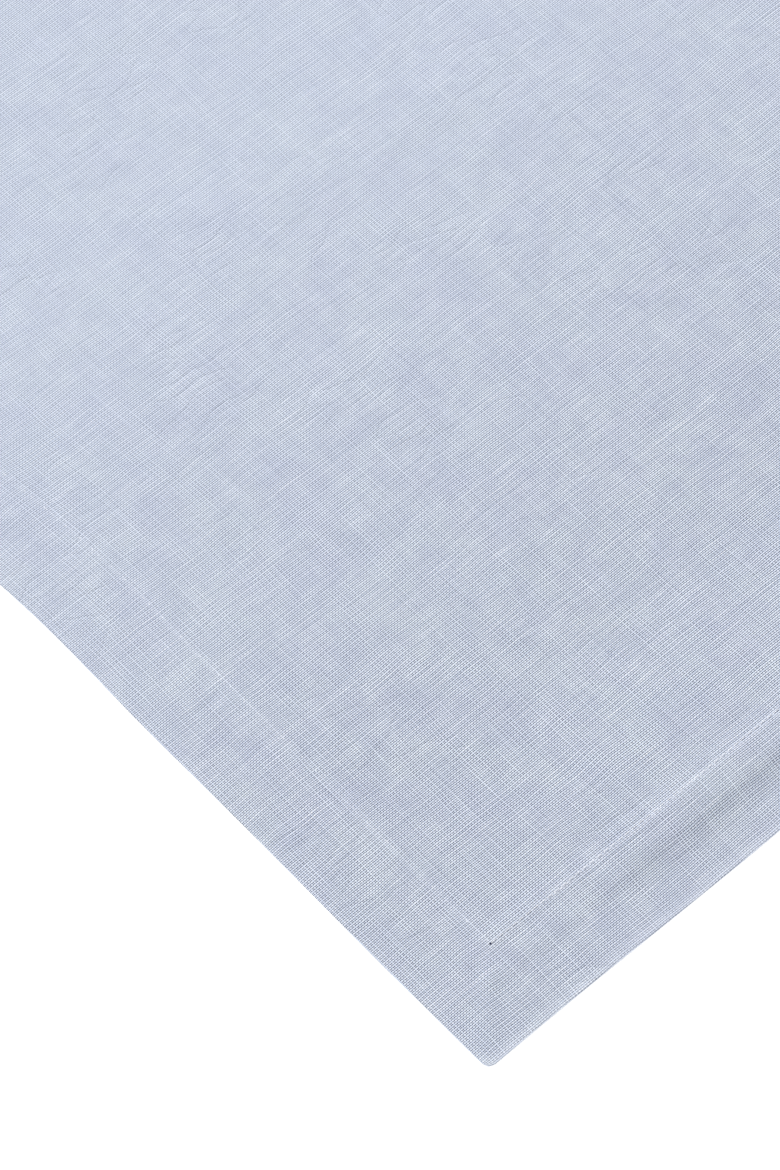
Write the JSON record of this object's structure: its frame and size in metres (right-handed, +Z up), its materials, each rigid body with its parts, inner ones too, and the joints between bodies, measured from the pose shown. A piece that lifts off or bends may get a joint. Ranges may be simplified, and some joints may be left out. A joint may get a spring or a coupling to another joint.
{
  "type": "table runner",
  "caption": "Pale blue linen table runner laid flat, with wide double-folded hems, mitred corners and a lockstitched hem line; it folds in half across its middle.",
  "frame": {"origin": "middle of the underside, on the table", "axes": "+X along the runner to its near end, +Y across it, +Z up"},
  "size_m": [1.4, 0.4, 0.0025],
  "materials": {
    "linen": "stone-washed plain-weave linen, pale grey-blue with lighter slubs, matt",
    "sewing_thread": "spun polyester sewing thread, pale blue, soft sheen"
  },
  "bodies": {
    "near_half": {"near_face_cloth": "linen", "near_end_hem": "linen", "near_left_hem": "linen", "near_right_hem": "linen", "near_left_mitre_seam": "sewing_thread", "near_right_mitre_seam": "sewing_thread", "near_needle_thread": "sewing_thread", "near_bobbin_thread": "sewing_thread"},
    "far_half": {"far_face_cloth": "linen", "far_end_hem": "linen", "far_left_hem": "linen", "far_right_hem": "linen", "far_left_mitre_seam": "sewing_thread", "far_right_mitre_seam": "sewing_thread", "far_needle_thread": "sewing_thread", "far_bobbin_thread": "sewing_thread"}
  },
  "joints": [
    {"name": "half_fold", "type": "hinge", "parent": "near_half", "child": "far_half", "pos_m": [0, 0, 0.0035], "axis": [0, 1, 0], "range_deg": [0, 180]}
  ]
}
